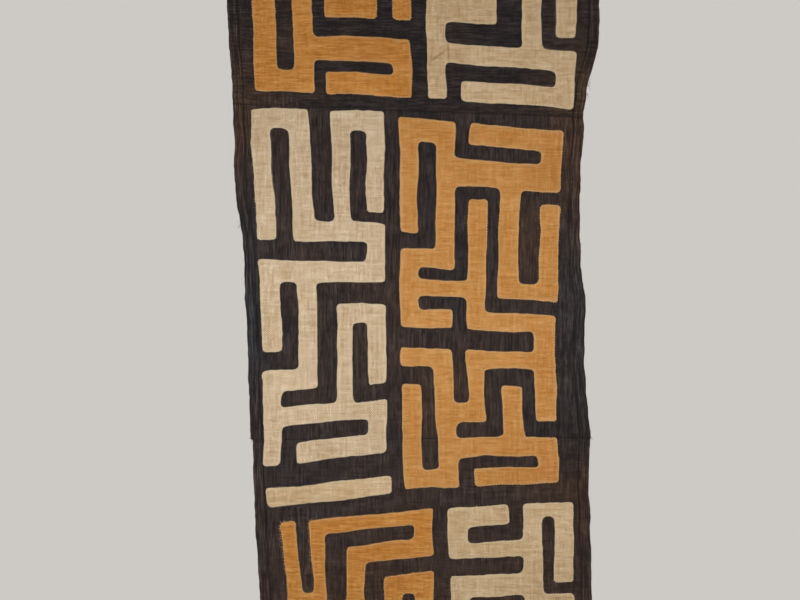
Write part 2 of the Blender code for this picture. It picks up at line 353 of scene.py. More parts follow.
def on_back(flat, height, thick=GROUND_THICK):
    """Points in space from (x, z) points, at a height over the back of the ground."""
    x, z = flat.T
    return np.column_stack((x, lie(x, z) + thick + height, z))


# Pieces from points


def make_object(name, points, faces, material):
    """A piece at the origin from points in millimetres."""
    mesh = bpy.data.meshes.new(name)
    mesh.from_pydata((np.asarray(points) * MM).tolist(), [], faces)
    mesh.shade_smooth()
    mesh.materials.append(material)
    piece = bpy.data.objects.new(name, mesh)
    bpy.context.scene.collection.objects.link(piece)
    return piece


def give_values(piece, name, values):
    """Keeps a number at each point of a piece, for its material to read."""
    attribute = piece.data.attributes.new(name, "FLOAT", "POINT")
    attribute.data.foreach_set("value", np.asarray(values, np.float32))


def drop_loose_points(piece):
    """Deletes the points that no face uses."""
    shell = bmesh.new()
    shell.from_mesh(piece.data)
    loose = [vert for vert in shell.verts if not vert.link_faces]
    bmesh.ops.delete(shell, geom=loose, context="VERTS")
    shell.to_mesh(piece.data)
    shell.free()


def front_outline(node):
    """The outline of a solid's front as (x, z) points in order round it, cloth on the left."""
    shell = bmesh.new()
    shell.from_mesh(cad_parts[node].data)
    bmesh.ops.remove_doubles(shell, verts=shell.verts[:], dist=MERGE)
    turned_away = [face for face in shell.faces if face.normal.y > -0.5]
    bmesh.ops.delete(shell, geom=turned_away, context="FACES")
    ahead = {}
    for edge in shell.edges:
        if edge.is_boundary:
            corner = edge.link_loops[0]
            ahead[corner.vert] = corner.link_loop_next.vert
    walk = [next(iter(ahead))]
    while ahead[walk[-1]] != walk[0]:
        walk.append(ahead[walk[-1]])
    outline = np.array([(vert.co.x / MM, vert.co.z / MM) for vert in walk])
    shell.free()
    return outline


# Ground panels


def spaced(total, close):
    """Places from 0 to total: the close ones from both ends, and even ones between."""
    close = np.array(close, float)
    parts = max(1, round((total - 2 * close[-1]) / GROUND_GRID))
    middle = np.linspace(close[-1], total - close[-1], parts + 1)
    return np.concatenate([close[:-1], middle, total - close[-2::-1]])


def stretched(places, close, length):
    """The same places on an edge of another length, with both ends kept as they are."""
    total, near = places[-1], close[-1]
    return np.interp(places, (0, near, total - near, total), (0, near, length - near, length))


def side_line(side, drops, seed):
    """Points down a wavering side of a panel, at distances below its top corner."""
    z = side[0, 1] - drops
    order = np.argsort(side[:, 1])
    x = np.interp(z, side[order, 1], side[order, 0])
    padded = np.pad(x, SIDE_SMOOTH // 2, "edge")
    fine = np.convolve(padded, np.ones(SIDE_SMOOTH) / SIDE_SMOOTH, "valid")
    for lump in SIDE_WAVERS:
        fine += deep(lump, np.full(len(z), SIDES_APART * seed), z, seed)
    return np.column_stack((fine, z))


def panel_sides(node):
    """The left and right sides of a panel as points from top to foot, and steps down them."""
    outline = front_outline(node)
    outline = np.roll(outline, -np.argmax(outline[:, 1] - outline[:, 0]), axis=0)
    x, z = outline.T
    foot, other_foot, top = np.argmin(x + z), np.argmin(z - x), np.argmax(x + z)
    sides = outline[: foot + 1], outline[other_foot : top + 1][::-1]
    longs = [side[0, 1] - side[-1, 1] for side in sides]
    downs = spaced(sum(longs) / 2, END_PLACES)
    lines = [
        side_line(side, stretched(downs, END_PLACES, long), seed)
        for seed, (side, long) in enumerate(zip(sides, longs))
    ]
    return lines, downs


def panel_points(lines, downs):
    """A panel's rows of (x, z) points, and how far each is from the nearest side and end."""
    acrosses = spaced(np.mean(lines[1][:, 0] - lines[0][:, 0]), SIDE_PLACES)
    points, from_side, from_end = [], [], []
    for from_left, from_right, down in zip(*lines, downs):
        width = np.linalg.norm(from_right - from_left)
        row = stretched(acrosses, SIDE_PLACES, width)
        points.append(from_left + np.outer(row / width, from_right - from_left))
        from_side.append(np.minimum(row, width - row))
        from_end.append(np.full(len(row), min(down, downs[-1] - down)))
    points = np.array(points)
    points[0, :, 1] += SEAM_LAP
    points[-1, :, 1] -= SEAM_LAP
    points[..., 1] += seam_waver(points.reshape(-1, 2)).reshape(points.shape[:2])
    return points, np.array(from_side), np.array(from_end)


def seam_waver(flat):
    """How far the rows of ground threads waver up and down."""
    return deep(SEAM_WAVER, flat[:, 0], flat[:, 1], SEAM_SEED)


def hem_relief(from_side, x, z):
    """The relief of a side hem on its front: its sewn trough, long pleats and puckers."""
    within = np.clip((HEM_ENDS - from_side) / HEM_FADE, 0, 1)
    off_line = from_side - HEM_SEWN
    trough = SEWN_DEEP * np.exp(-((off_line / SEWN_WIDE) ** 2))
    pleats = deep(PLEAT, from_side + HEMS_APART * np.sign(x), z, PLEAT_SEED)
    puckers = np.sin(math.tau * z / HEM_PITCH) * np.exp(-((off_line / PUCKER_WIDE) ** 2))
    return within * (trough + pleats + PUCKER_DEEP * puckers)


def rounded_rim(distance, radius):
    """How far a rim of that radius turns away from its face, at distances from its edge."""
    short = np.clip(radius - distance, 0, radius)
    return radius - np.sqrt(radius**2 - short**2)


def make_panel(panel, material):
    """A ground panel: one sheet, folded behind at its sides and ends, with rounded rims."""
    lines, downs = panel_sides(panel.node)
    points, from_side, from_end = panel_points(lines, downs)
    rows, columns = from_side.shape
    x, z = points.reshape(-1, 2).T
    from_side, from_end = from_side.ravel(), from_end.ravel()
    single = smooth_step(HEM, HEM + FOLD_STEP, from_side)
    single = np.minimum(single, smooth_step(TURNING, TURNING + FOLD_STEP, from_end))
    thick = FOLDED_THICK + (GROUND_THICK - FOLDED_THICK) * single
    rim = rounded_rim(np.minimum(from_side, from_end), FOLDED_THICK / 2)
    front = lie(x, z) + hem_relief(from_side, x, z)
    fronts = np.column_stack((x, front + rim, z))
    backs = np.column_stack((x, front + thick - rim, z))
    numbers = np.arange(rows * columns).reshape(rows, columns)
    corners = (numbers[:-1, :-1], numbers[1:, :-1], numbers[1:, 1:], numbers[:-1, 1:])
    quads = np.stack(corners, axis=-1).reshape(-1, 4)
    border = (from_side == 0) | (from_end == 0)
    behind = np.where(border, 0, rows * columns) + numbers.ravel()
    faces = quads.tolist() + behind[quads][:, ::-1].tolist()
    piece = make_object(f"{panel.node}_cloth", np.vstack((fronts, backs)), faces, material)
    give_values(piece, "from_side", np.tile(from_side, 2))
    give_values(piece, "brown", np.tile(patch_values(BROWN, x, z), 2))
    give_values(piece, "blue", np.tile(patch_values(BLUE, x, z), 2))
    give_values(piece, "pale", np.tile(patch_values(PALE, x, z), 2))
    give_values(piece, "upright", np.full(2 * len(x), panel.upright))
    give_values(piece, "shade", np.tile(panel.shade + patch_values(LIGHTER, x, z), 2))
    drop_loose_points(piece)
    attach(piece, BODY)
    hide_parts(panel.node)
    return piece, lines


# Figures


def along(outline):
    """The distance round a closed outline to each of its points, and its whole length."""
    steps = np.linalg.norm(np.roll(outline, -1, axis=0) - outline, axis=1)
    return np.concatenate(([0], np.cumsum(steps)))


def even_points(outline, step):
    """A closed outline again, with even steps about that long."""
    round_it = along(outline)
    places = np.linspace(0, round_it[-1], round(round_it[-1] / step), endpoint=False)
    closed = np.vstack((outline, outline[:1]))
    return np.column_stack([np.interp(places, round_it, closed[:, k]) for k in (0, 1)])


def outwards(outline):
    """The direction out of the cloth at each point of a closed outline."""
    run = np.roll(outline, -1, axis=0) - np.roll(outline, 1, axis=0)
    run /= np.linalg.norm(run, axis=1)[:, None]
    return np.column_stack((run[:, 1], -run[:, 0]))


def cut_outline(node):
    """A figure's outline, softened at its corners and wavering as a hand cuts and turns it."""
    outline = even_points(front_outline(node), OUTLINE_STEP)
    before, after = np.roll(outline, 1, axis=0), np.roll(outline, -1, axis=0)
    outline = (before + 2 * outline + after) / 4
    waver = sum(deep(lump, *outline.T, CUT_SEED + k) for k, lump in enumerate(CUT_WAVERS))
    return outline + outwards(outline) * waver[:, None]


def rim_distance(outline, points):
    """How far each point is from an outline."""
    close = even_points(outline, RIM_STEP)
    tree = KDTree(len(close))
    for k, (x, z) in enumerate(close):
        tree.insert((x, 0, z), k)
    tree.balance()
    return np.array([tree.find((x, 0, z))[2] for x, z in points])


def cut_marks(flat, mark):
    """Cuts a flat mesh along both sides of a fold mark, so that the mark stays sharp in it."""
    start = Vector((mark.start_x, 0, -mark.start_drop))
    end = Vector((mark.end_x, 0, -mark.end_drop))
    middle, half = (start + end) / 2, (end - start) / 2
    normal = Vector((half.z, 0, -half.x)).normalized()
    for off in MARK_CUTS:
        faces = [
            face for face in flat.faces if (face.calc_center_median() - middle).length < half.length
        ]
        edges = {edge for face in faces for edge in face.edges}
        verts = {vert for face in faces for vert in face.verts}
        bmesh.ops.bisect_plane(
            flat,
            geom=list(verts) + list(edges) + faces,
            dist=CUT_NEAR,
            plane_co=start + normal * off * mark.wide,
            plane_no=normal,
        )


def flat_figure(outline):
    """A flat mesh inside an outline: narrow rings at its rim, then a grid of squares."""
    flat = bmesh.new()
    face = flat.faces.new([flat.verts.new((x, 0, z)) for x, z in outline])
    for inset in RIM_INSETS:
        bmesh.ops.inset_region(
            flat, faces=[face], thickness=inset, use_boundary=True, use_even_offset=True
        )
    for k, normal in ((0, (1, 0, 0)), (1, (0, 0, 1))):
        low, high = outline[:, k].min(), outline[:, k].max()
        for place in np.arange(low + FIGURE_GRID / 2, high, FIGURE_GRID):
            on_line = [place * part for part in normal]
            everything = flat.verts[:] + flat.edges[:] + flat.faces[:]
            bmesh.ops.bisect_plane(
                flat, geom=everything, dist=CUT_NEAR, plane_co=on_line, plane_no=normal
            )
    for mark in FOLD_MARKS:
        cut_marks(flat, mark)
    return flat


def make_figure(node, outline, material):
    """A figure: a sheet with its edges turned under, on the folds of the ground."""
    flat = flat_figure(outline)
    flat.verts.index_update()
    places = np.array([(vert.co.x, vert.co.z) for vert in flat.verts])
    away = rim_distance(outline, places)
    height = np.interp(away, *zip(*EDGE_PROFILE))
    height += smooth_step(*LUMPS_BEGIN, away) * deep(EDGE_LUMP, *places.T, EDGE_SEED)
    marks = [crease_deep(mark, *places.T) for mark in FOLD_MARKS]
    height -= sum(marks)
    fronts = on_front(places, height)
    backs = on_front(places, EDGE_PROFILE[0][1])
    count = len(places)
    faces = [[vert.index for vert in face.verts] for face in flat.faces]
    rim = {vert.index for vert in flat.verts if vert.is_boundary}
    flat.free()
    behind = [k if k in rim else k + count for k in range(count)]
    faces += [[behind[k] for k in reversed(face)] for face in faces]
    piece = make_object(f"{node}_cloth", np.vstack((fronts, backs)), faces, material)
    # Paler at the rim: partly wear of the turned edge, partly a painted highlight where it catches
    # the light
    give_values(piece, "rim", np.tile(1 - smooth_step(*WORN_AND_HIGHLIT_ENDS, away), 2))
    # Painted shade along the fold marks, with the patches of darker dye: the cloth is darkened
    # there
    deeper_dye_and_crease_shade = sum(deep_in / mark.deep for deep_in, mark in zip(marks, FOLD_MARKS))
    deeper_dye_and_crease_shade = deeper_dye_and_crease_shade + patch_values(DEEPER, *places.T)
    give_values(piece, "deeper_dye_and_crease_shade", np.tile(deeper_dye_and_crease_shade, 2))
    drop_loose_points(piece)
    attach(piece, BODY)
    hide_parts(node)
    return piece


# Sewing threads


def stitch_form():
    """One stitch, spun as an arch from a small round section: its points and its faces."""
    bpy.ops.object.select_all(action="DESELECT")
    bpy.ops.mesh.primitive_circle_add(
        vertices=STITCH_SIDES,
        radius=STITCH_THICK / 2,
        location=(-STITCH_HALF, 0, 0),
        rotation=(math.pi / 2, 0, 0),
    )
    arch = bpy.context.object
    bpy.ops.object.transform_apply()
    bpy.ops.object.mode_set(mode="EDIT")
    bpy.ops.mesh.select_all(action="SELECT")
    bpy.ops.mesh.spin(steps=STITCH_STEPS, angle=math.pi, center=(0, 0, 0), axis=(0, 0, 1))
    bpy.ops.mesh.select_all(action="SELECT")
    bpy.ops.mesh.normals_make_consistent(inside=False)
    bpy.ops.object.mode_set(mode="OBJECT")
    points = np.array([vert.co for vert in arch.data.vertices])
    faces = np.array([list(face.vertices) for face in arch.data.polygons])
    bpy.data.objects.remove(arch, do_unlink=True)
    return points, faces


def sew(name, starts, ends, lift, material):
    """Stitches from start points to end points, arched to the front where lift is negative."""
    runs = (ends - starts) / 2
    up = np.array((0, math.copysign(1, lift), 0))
    sideways = np.cross(runs, up)
    sideways /= np.linalg.norm(sideways, axis=1)[:, None]
    form, faces = STITCH
    points = (
        (starts + ends)[:, None] / 2
        + form[:, 0, None] / STITCH_HALF * runs[:, None]
        + form[:, 1, None] / STITCH_HALF * abs(lift) * up
        + form[:, 2, None] * sideways[:, None]
    )
    all_faces = faces + len(form) * np.arange(len(starts))[:, None, None]
    points, all_faces = points.reshape(-1, 3), all_faces.reshape(-1, 4).tolist()
    piece = make_object(name, points, all_faces, material)
    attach(piece, BODY)
    return piece


def edge_stitches(node, outline, thread, seed):
    """The overcast stitches round a figure: over its rim in front, and as dashes behind."""
    chance = np.random.default_rng(seed)
    places = even_points(outline, EDGE_PITCH)
    out = outwards(places)
    run = np.column_stack((-out[:, 1], out[:, 0]))
    shift = chance.uniform(-STITCH_SHIFT, STITCH_SHIFT, len(places))
    places = places + run * shift[:, None]
    reach = EDGE_REACH + patch_values(TEETH, *places.T)
    reach *= chance.uniform(*STITCH_UNEVEN, len(places))
    bite = EDGE_BITE * chance.uniform(*STITCH_UNEVEN, len(places))
    lean = chance.uniform(*STITCH_LEAN, len(places))
    inner = places - out * bite[:, None] + run * lean[:, None]
    outer = places + out * reach[:, None]
    starts, ends = on_front(inner, FIGURE_FACE), on_front(outer, 0)
    front = sew(f"{node}_stitches", starts, ends, -EDGE_LIFT, thread)
    dash = run * DASH / 2
    starts, ends = on_back(places - dash, 0), on_back(places + dash, 0)
    behind = sew(f"{node}_back_stitches", starts, ends, DASH_LIFT, thread)
    return [front, behind]


def make_threads(name, paths, thick, material, closed=False):
    """Threads along paths of points in millimetres, as one mesh."""
    curve = bpy.data.curves.new(name, "CURVE")
    curve.dimensions = "3D"
    curve.bevel_depth = thick / 2 * MM
    curve.bevel_resolution = 0
    curve.use_fill_caps = not closed
    for path in paths:
        spline = curve.splines.new("POLY")
        spline.points.add(len(path) - 1)
        places = np.column_stack((path * MM, np.ones(len(path))))
        spline.points.foreach_set("co", places.ravel())
        spline.use_cyclic_u = closed
    thread = bpy.data.objects.new(name, curve)
    bpy.context.scene.collection.objects.link(thread)
    bpy.ops.object.select_all(action="DESELECT")
    thread.select_set(True)
    bpy.context.view_layer.objects.active = thread
    bpy.ops.object.convert(target="MESH")
    thread.data.materials.clear()
    thread.data.materials.append(material)
    thread.data.shade_smooth()
    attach(thread, BODY)
    return thread


def edging_and_shadow_line(node, outline, thread):
    """The dark thread in the angle between a figure's rim and the ground, also a painted shadow
    line.
    """
    path = on_front(outline + outwards(outline) * EDGING_AND_SHADOW_OFF, EDGING_AND_SHADOW_THICK / 3)
    return make_threads(f"{node}_edging", [path], EDGING_AND_SHADOW_THICK, thread, closed=True)


def running(name, line, thread):
    """Running stitches along a line of (x, z) points: every other one shows on each face."""
    steps = np.linalg.norm(np.diff(line, axis=0), axis=1)
    along_it = np.concatenate(([0], np.cumsum(steps)))
    at = np.arange(HEM_STITCH, along_it[-1] - HEM_STITCH, HEM_PITCH)

    def points_at(places):
        return np.column_stack([np.interp(places, along_it, line[:, k]) for k in (0, 1)])

    start, end, behind_end = points_at(at), points_at(at + HEM_STITCH), points_at(at + HEM_PITCH)
    sunk = -SEWN_DEEP / 2
    front = sew(f"{name}_front", on_front(start, sunk), on_front(end, sunk), -HEM_LIFT, thread)
    starts = on_back(end, 0, FOLDED_THICK)
    ends = on_back(behind_end, 0, FOLDED_THICK)
    return [front, sew(f"{name}_back", starts, ends, HEM_LIFT, thread)]


def seam(name, left, right, thread):
    """The whipped seam between two panels, sewn over on both faces."""
    count = round((right[0] - left[0]) / SEAM_PITCH)
    share = (np.arange(count) + 0.5)[:, None] / count
    middle = left + (right - left) * share
    middle[:, 1] += seam_waver(middle)
    over = np.array((SEAM_LEAN, SEAM_REACH))
    upper, lower = middle + over, middle - over
    front = sew(f"{name}_front", on_front(upper, 0), on_front(lower, 0), -SEAM_LIFT, thread)
    starts = on_back(upper, 0, FOLDED_THICK)
    ends = on_back(lower, 0, FOLDED_THICK)
    return [front, sew(f"{name}_back", starts, ends, SEAM_LIFT, thread)]


def fray_paths(lines):
    """Curling fibres from the side edges of all panels, as paths of points."""
    chance = np.random.default_rng(FRAY_SEED)
    sides = [np.vstack([pair[k] for pair in lines]) for k in (0, 1)]
    roots = [(f.drop, f.side, f.long) for f in FRAYS for _ in range(f.count)]
    deepest = -sides[0][-1, 1]
    for _ in range(LONE_FRAYS):
        drop = chance.uniform(FRAY_FREE, deepest - FRAY_FREE)
        roots.append((drop, chance.choice((-1, 1)), LONE_LONG))
    paths = []
    for drop, side, long in roots:
        line = sides[0] if side < 0 else sides[1]
        z = -drop + chance.normal(0, FRAY_SPREAD)
        x = np.interp(-z, -line[:, 1], line[:, 0])
        root = np.array((x, lie(np.array([x]), np.array([z]))[0] + GROUND_THICK, z))
        heading = np.array([side] + [chance.uniform(*span) for span in FRAY_HEADS])
        curl = np.array([0] + [chance.uniform(*span) for span in FRAY_CURLS])
        reach = np.linspace(0, long * chance.uniform(*FRAY_SHARES), FRAY_POINTS)[:, None]
        straight = heading * (reach - FRAY_ROOTED) * FRAY_STRAIGHT
        paths.append(root + straight + curl * reach**2 / long * FRAY_CURLED)
    return paths


# Colours and materials


def linear(colour):
    """An sRGB hex colour as linear light, with full alpha."""
    channels = [int(colour[k : k + 2], 16) / 255 for k in (1, 3, 5)]
    light = [c / 12.92 if c <= 0.04045 else ((c + 0.055) / 1.055) ** 2.4 for c in channels]
    return (*light, 1.0)


def add(tree, kind, sockets=None, out=0, stops=(), **settings):
    """Adds a node and gives one of its outputs. Settings are its properties, sockets its inputs,
    each a value or the output that feeds it, and stops the places and colours of its ramp.
    A Mix node takes its share in socket 0, numbers in 2 and 3, and colours in 6 and 7."""
    made = tree.nodes.new(f"ShaderNode{kind}")
    for name, value in settings.items():
        setattr(made, name, value)
    for name, value in (sockets or {}).items():
        if isinstance(value, bpy.types.NodeSocket):
            tree.links.new(value, made.inputs[name])
        else:
            made.inputs[name].default_value = value
    for k, (place, colour) in enumerate(stops):
        ramp = made.color_ramp.elements
        stop = ramp[k] if k < len(ramp) else ramp.new(place)
        stop.position = place
        stop.color = linear(colour)
    return made.outputs[out]


# Uneven threads and blotches, as noise stretched to real sizes in millimetres. Raffia threads
# are under 1 mm wide, too fine to show, so the thinnest streaks are as coarse as a few of them.
Grain = namedtuple("Grain", "wide tall detail rough")
WARP = Grain(5, 60, 3, 1.0)
WEFT = Grain(50, 5, 3, 1.0)
SPECK = Grain(3.4, 2.2, 1, 0.5)
BLOTCH = Grain(26, 22, 3, 0.6)
TINT = Grain(12, 9, 3, 0.9)
STREAK = Grain(2.9, 42, 2, 0.6)
CLOUD = Grain(120, 150, 2, 0.5)
TWIST = Grain(2.2, 2.2, 2, 0.6)
FLOOR_CLOUD = Grain(700, 700, 2, 0.5)

# Where a grain begins to tell, where it tells most, and how strongly it does there
TINTED = {"From Min": 0.42, "From Max": 0.62, "To Max": 0.6}
SPECKED = {"From Min": 0.66, "From Max": 0.8, "To Max": 0.7}
WORN = {"From Min": 0.56, "From Max": 0.72, "To Max": 0.6}

# Roughness and sheen of each finish, and how weakly all of them shine
FIGURE_FINISH = (0.85, 0.08)
GROUND_FINISH = (0.88, 0.04)
THREAD_FINISH = (0.8, 0.05)
FLOOR_FINISH = (0.7, 0.0)
SHINE = 0.25
SHEEN_ROUGHNESS = 0.5

# How far crossings, warps and wefts stand out, and how deep each relief is in millimetres
FIGURE_RELIEF = (0.6, 1.2, 1.2)
GROUND_RELIEF = (0.6, 1.4, 1.2)
FIGURE_DEEP = 0.3
GROUND_DEEP = 0.35
THREAD_DEEP = 0.1


def grain(tree, place, look, seed=0.0):
    """Noise with a grain's sizes over the cloth, from 0 to 1. A seed moves it, so that no two
    grains of one material follow each other."""
    scale = (1 / (look.wide * MM), 1.0, 1 / (look.tall * MM))
    turned = add(tree, "Mapping", {"Vector": place, "Scale": scale, "Location": (seed, seed, 0)})
    sockets = {"Vector": turned, "Scale": 1.0, "Detail": look.detail, "Roughness": look.rough}
    return add(tree, "TexNoise", sockets)


def mixed(tree, parts, start=0.5):
    """Values around one half, each with its weight, summed around a start."""
    total = start
    for value, weight in parts:
        part = add(tree, "Math", {0: value, 1: 0.5}, operation="SUBTRACT")
        total = add(tree, "Math", {0: part, 1: weight, 2: total}, operation="MULTIPLY_ADD")
    return total


# The threads of a plain weave, drawn twice as coarse as they are so that they show, how much
# their crossings show in the colour, and how threads woven by hand waver
THREAD_PITCH = 2.1
CROSSED = 0.6
WAVERING = {"Distortion": 2.2, "Detail": 1.0, "Detail Scale": 0.5}


def weave(tree, place):
    """The crossings of a plain weave: near 1 where a thread lies on top, 0 in the gaps.
    A band repeats each pi / 10 over its scale, and spans two threads."""
    sockets = {"Vector": place, "Scale": math.pi / 20 / (THREAD_PITCH * MM)} | WAVERING
    warps = add(tree, "TexWave", sockets, out="Fac", bands_direction="X")
    wefts = add(tree, "TexWave", sockets, out="Fac", bands_direction="Z")
    apart = add(tree, "Math", {0: warps, 1: wefts}, operation="SUBTRACT")
    return add(tree, "Math", {0: apart}, operation="ABSOLUTE")


def new_material(name, roughness, sheen):
    """A new material, and its tree, shader and Object coordinates."""
    material = bpy.data.materials.new(name)
    material.use_nodes = True
    tree = material.node_tree
    shader = tree.nodes["Principled BSDF"]
    shader.inputs["Roughness"].default_value = roughness
    shader.inputs["Specular IOR Level"].default_value = SHINE
    shader.inputs["Sheen Weight"].default_value = sheen
    shader.inputs["Sheen Roughness"].default_value = SHEEN_ROUGHNESS
    return material, tree, shader, add(tree, "TexCoord", out="Object")


def finish_cloth(tree, shader, colour, relief, depth):
    """Gives a shader its colour, and a relief that many millimetres deep."""
    tree.links.new(colour, shader.inputs["Base Color"])
    sockets = {"Height": relief, "Distance": depth * MM, "Strength": 1.0}
    tree.links.new(add(tree, "Bump", sockets), shader.inputs["Normal"])


# Raffia cloth of the figures, woven by hand and turned under: the eye sees a dull, dry linen-like
# cloth of uneven threads, with small specks and a paler rim, partly worn and partly a painted
# highlight. For each dye: its darkest, usual and lightest threads, a tint in blotches, the specks
# of thin places, which also colour the painted shade of fold marks and patches of darker dye, the
# paler rim with its painted highlight, and how strongly upright and level threads show.
Dye = namedtuple("Dye", "deep base pale tint speck rim warp weft")
DYES = {
    "cream": Dye("#A0835F", "#C8B192", "#EBDEC6", "#CDB08C", "#96784E", "#E0D0B3", 1.7, 1.6),
    "straw": Dye("#9E7F58", "#C6AB86", "#E8D6B8", "#CCAC82", "#947348", "#DDCAA6", 1.4, 1.9),
    "ochre": Dye("#9C631E", "#BE8848", "#DCB074", "#C98642", "#985217", "#D5AA74", 1.3, 1.9),
    "rust": Dye("#975814", "#BB7E39", "#DBA767", "#CB8632", "#934A10", "#D1A166", 1.1, 2.6),
}


# How much blotches and wide clouds show in the cloth of a figure, and how strongly its rim is
# paled, by wear and a painted highlight
BLOTCHED = 0.3
CLOUDED = 0.4
RIM_WORN_AND_HIGHLIT = 0.45


def figure_raffia(name, dye):
    """Figure raffia in one dye: uneven threads, specks, painted shade at fold marks, worn rim with
    painted highlight.
    """
    name = f"{name} raffia, woven and turned under"
    material, tree, shader, place = new_material(name, *FIGURE_FINISH)
    warp, weft = grain(tree, place, WARP), grain(tree, place, WEFT, 3.0)
    blotch, cloud = grain(tree, place, BLOTCH, 5.0), grain(tree, place, CLOUD, 9.0)
    crossings = weave(tree, place)
    parts = [(warp, dye.warp), (weft, dye.weft), (blotch, BLOTCHED)]
    parts += [(cloud, CLOUDED), (crossings, CROSSED)]
    stops = ((0.1, dye.deep), (0.5, dye.base), (0.9, dye.pale))
    cloth = add(tree, "ValToRGB", {"Fac": mixed(tree, parts)}, stops=stops)
    tint = grain(tree, place, TINT, 4.0)
    tint = add(tree, "MapRange", {"Value": tint} | TINTED)
    cloth = add(tree, "Mix", {0: tint, 6: cloth, 7: linear(dye.tint)}, out=2, data_type="RGBA")
    speck = grain(tree, place, SPECK, 7.0)
    speck = add(tree, "MapRange", {"Value": speck} | SPECKED)
    cloth = add(tree, "Mix", {0: speck, 6: cloth, 7: linear(dye.speck)}, out=2, data_type="RGBA")
    # Painted shade along the fold marks, and patches of darker dye, pull the cloth towards its
    # speck colour
    deeper_dye_and_crease_shade = add(tree, "Attribute", out="Fac", attribute_name="deeper_dye_and_crease_shade")
    cloth = add(tree, "Mix", {0: deeper_dye_and_crease_shade, 6: cloth, 7: linear(dye.speck)}, out=2, data_type="RGBA")
    # Painted highlight, with wear: the rim is paled towards the dye's rim colour
    rim = add(tree, "Attribute", out="Fac", attribute_name="rim")
    paler = add(tree, "Math", {0: rim, 1: RIM_WORN_AND_HIGHLIT}, operation="MULTIPLY")
    cloth = add(tree, "Mix", {0: paler, 6: cloth, 7: linear(dye.rim)}, out=2, data_type="RGBA")
    relief = mixed(tree, zip((crossings, warp, weft), FIGURE_RELIEF))
    finish_cloth(tree, shader, cloth, relief, FIGURE_DEEP)
    return material


# Dark dyed raffia of the ground: the eye sees near-black cloth that turns brown in patches, with
# faint pale streaks where the dye has worn off the threads, and upright lines of painted light and
# shade in its hems. Its dye where it is black, blue-black and brown, the worn fibres, the painted
# shade line along a sewn hem with its distance from the side, the painted light and shade of a
# hem's pleats, and how much threads and blotches show.
BLACK_STOPS = ((0.15, "#161112"), (0.5, "#272122"), (0.9, "#463E3D"))
BLUE_STOPS = ((0.15, "#14161A"), (0.5, "#25262A"), (0.9, "#444548"))
BROWN_STOPS = ((0.15, "#251A14"), (0.5, "#3C2B22"), (0.9, "#5C483A"))
BROWN_SHARE = 0.15
PALE_THREAD = "#807876"
HEM_SHADE_LINE = "#120E0D"
SHADE_LINE_IN = 19.0
SHADE_LINE_WIDE = {"From Min": 2.2, "From Max": 0.4, "To Max": 0.75}
HEM_PLEAT_SHADING = Grain(3.4, 90, 2, 0.7)
PLEAT_SHADED = {"From Min": 22.0, "From Max": 18.5, "To Max": 2.4}
GROUND_THREADED = 3.9
GROUND_BLOTCHED = 0.7


